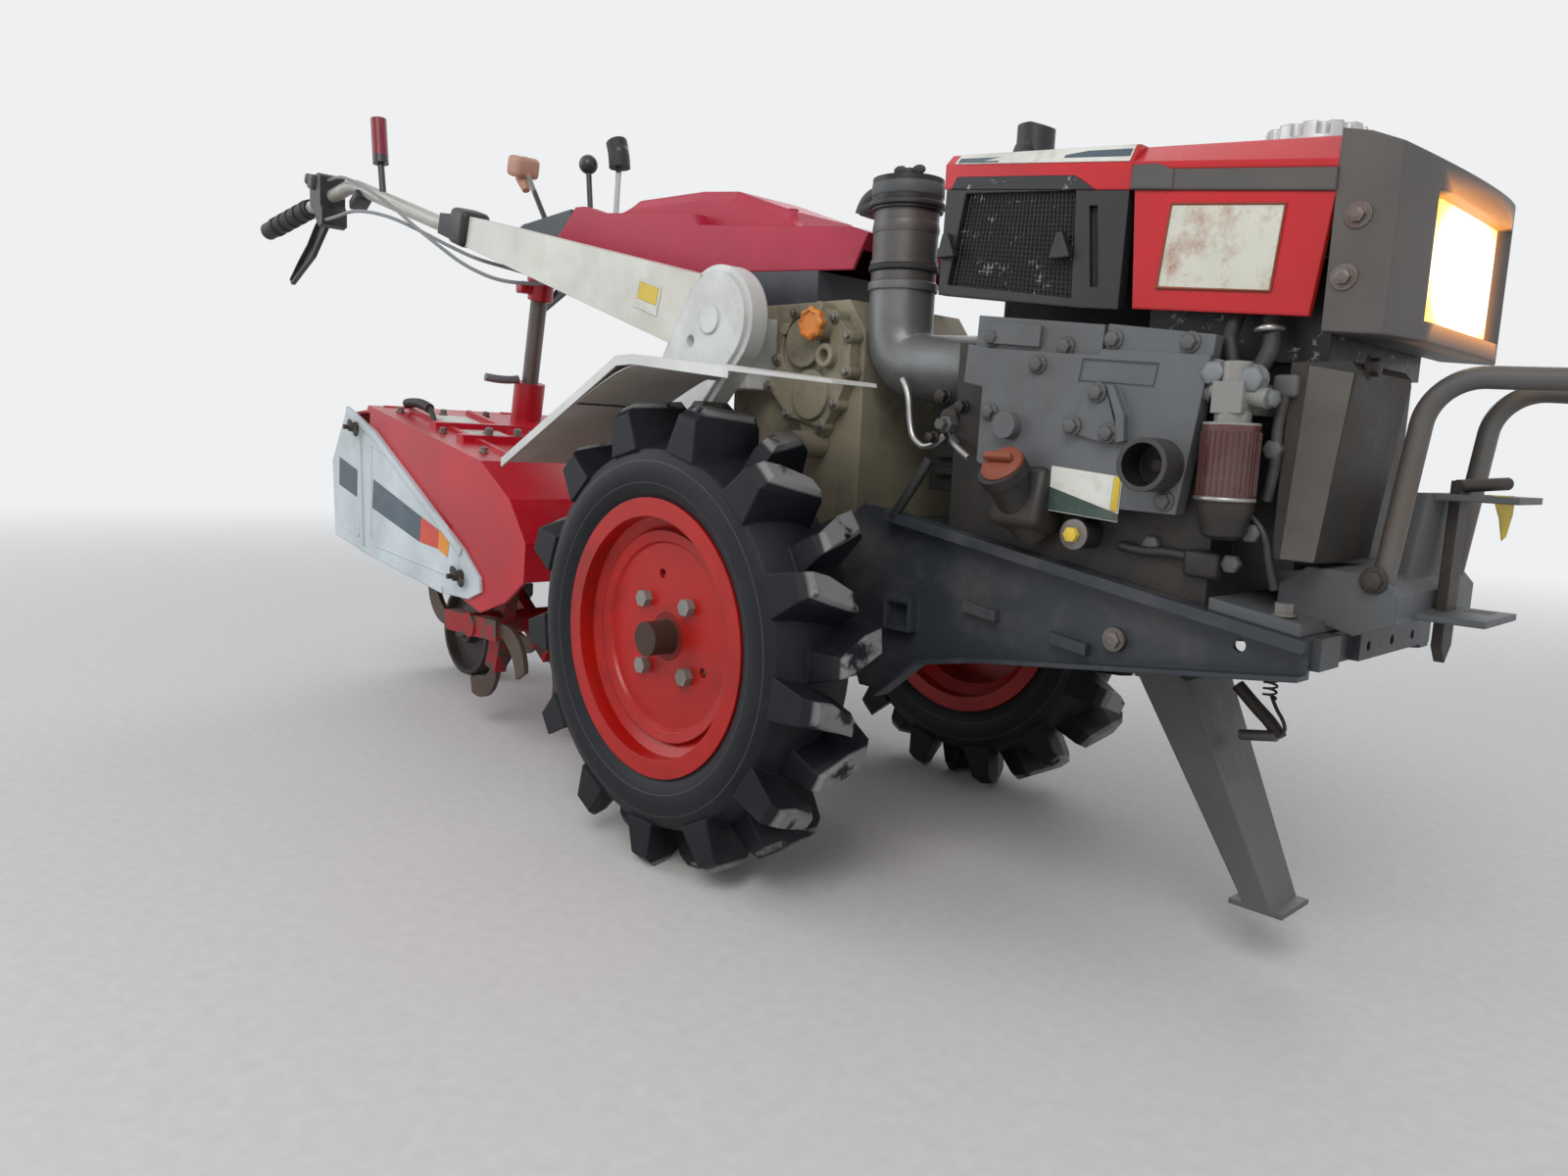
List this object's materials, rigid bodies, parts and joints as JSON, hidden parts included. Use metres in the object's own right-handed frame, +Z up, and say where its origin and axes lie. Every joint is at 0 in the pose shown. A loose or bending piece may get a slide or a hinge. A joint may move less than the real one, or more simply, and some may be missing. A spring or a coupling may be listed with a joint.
{
  "type": "walk-behind tractor with rotary tiller",
  "caption": "Single-axle diesel walk-behind tractor with lugged wheels, front stand and hoop, long handlebars and a bolted-on rotary tiller with a tail wheel",
  "frame": {"origin": "middle of the footprint box, on the floor under the machine", "axes": "+X forward to the engine and lamp, +Y to the machine's left, +Z up"},
  "size_m": [2.3386, 0.756, 1.0837],
  "materials": {
    "tyre_rubber": "worn black rubber",
    "rim_red": "chipped red enamel",
    "axle_rust": "rusty steel",
    "cast_olive": "aged bare casting",
    "frame_blue_grey": "dark blue-grey paint, worn",
    "engine_grey": "grey engine paint",
    "dark_cast": "oily dark iron",
    "hood_red": "glossy red paint",
    "hood_plastic_grey": "dark grey moulding",
    "mesh_black": "black mesh",
    "core_black": "dark cooling fins",
    "lamp_glass": "lit lamp glass",
    "cap_silver": "bright cast cap",
    "black_steel": "black paint",
    "pipe_grey": "pale grey casting",
    "cleaner_grey": "grey-brown painted sheet",
    "crimson_plastic": "crimson moulding",
    "console_grey": "dark grey moulding",
    "white_paint": "white paint, scuffed",
    "white_cast": "white painted casting",
    "tube_beige": "grey-beige tube",
    "grip_black": "black rubber grip",
    "lever_black": "black lever",
    "lever_mix": "coloured knobs on steel rods",
    "bracket_grey": "grey painted casting",
    "hoop_steel": "dull grey tube",
    "stand_grey": "grey painted steel",
    "tiller_red": "red paint",
    "tine_brown": "brown soil-worn steel",
    "tail_brown": "dark brown steel",
    "cable_grey": "grey cable sheath",
    "filter_brown": "dark red-brown filter bowl"
  },
  "bodies": {
    "machine": {"gear_case": "cast_olive", "case_cover": "cast_olive", "case_mount": "dark_cast", "drive_casing": "white_cast", "handle_bracket": "white_cast", "frame_rails": "frame_blue_grey", "frame_front": "frame_blue_grey", "stand_hinge": "frame_blue_grey", "engine_block": "engine_grey", "engine_cover": "engine_grey", "oil_filler": "dark_cast", "fuel_filter": "filter_brown", "belt_cover": "white_paint", "handle_beams": "white_paint", "side_plates": "white_paint", "fenders": "white_paint", "radiator": "core_black", "condenser": "core_black", "fan_cowl": "black_steel", "muffler": "black_steel", "beam_ends": "black_steel", "hood_rear": "hood_red", "hood_front": "hood_red", "side_panels": "hood_red", "hood_trim": "hood_plastic_grey", "lamp_housing": "hood_plastic_grey", "grille": "mesh_black", "lamp_glass": "lamp_glass", "radiator_cap": "cap_silver", "air_cleaner": "cleaner_grey", "intake_elbow": "pipe_grey", "top_cover": "crimson_plastic", "handle_frame": "frame_blue_grey", "console": "console_grey", "shift_levers": "lever_mix", "red_lever": "lever_mix", "lever_brackets": "pipe_grey", "clutch_cable": "cable_grey", "throttle_cable": "cable_grey", "handle_tubes": "tube_beige", "grips": "grip_black", "clutch_levers": "lever_black", "front_bracket": "bracket_grey", "hoop": "hoop_steel", "hitch_pin": "tail_brown", "tiller_cover": "tiller_red", "tiller_case": "dark_cast", "tail_column": "tube_beige", "tail_fork": "tail_brown"},
    "wheel_right": {"tyre_right": "tyre_rubber", "rim_right": "rim_red", "axle_right": "axle_rust"},
    "wheel_left": {"tyre_left": "tyre_rubber", "rim_left": "rim_red", "axle_left": "axle_rust"},
    "stand_leg": {"stand": "stand_grey"},
    "rear_lid": {"rear_cover": "tiller_red"},
    "tail_roller": {"tail_wheel": "tail_brown"},
    "rotor_shaft": {"rotor": "tine_brown"}
  },
  "joints": [
    {"name": "wheel_right_spin", "type": "hinge", "parent": "machine", "child": "wheel_right", "pos_m": [0.21982, 0, 0.2876], "axis": [0, 1, 0], "continuous": true},
    {"name": "wheel_left_spin", "type": "hinge", "parent": "machine", "child": "wheel_left", "pos_m": [0.21982, 0, 0.2876], "axis": [0, 1, 0], "continuous": true},
    {"name": "stand_fold", "type": "hinge", "parent": "machine", "child": "stand_leg", "pos_m": [0.71782, 0, 0.346], "axis": [0, 1, 0], "range_deg": [0, 75]},
    {"name": "rear_lid_hinge", "type": "hinge", "parent": "machine", "child": "rear_lid", "pos_m": [-0.74618, 0, 0.553], "axis": [0, 1, 0], "range_deg": [0, 60]},
    {"name": "tail_wheel_spin", "type": "hinge", "parent": "machine", "child": "tail_roller", "pos_m": [-0.88018, 0, 0.095], "axis": [0, 1, 0], "continuous": true},
    {"name": "rotor_spin", "type": "hinge", "parent": "machine", "child": "rotor_shaft", "pos_m": [-0.38018, 0, 0.205], "axis": [0, 1, 0], "continuous": true}
  ]
}
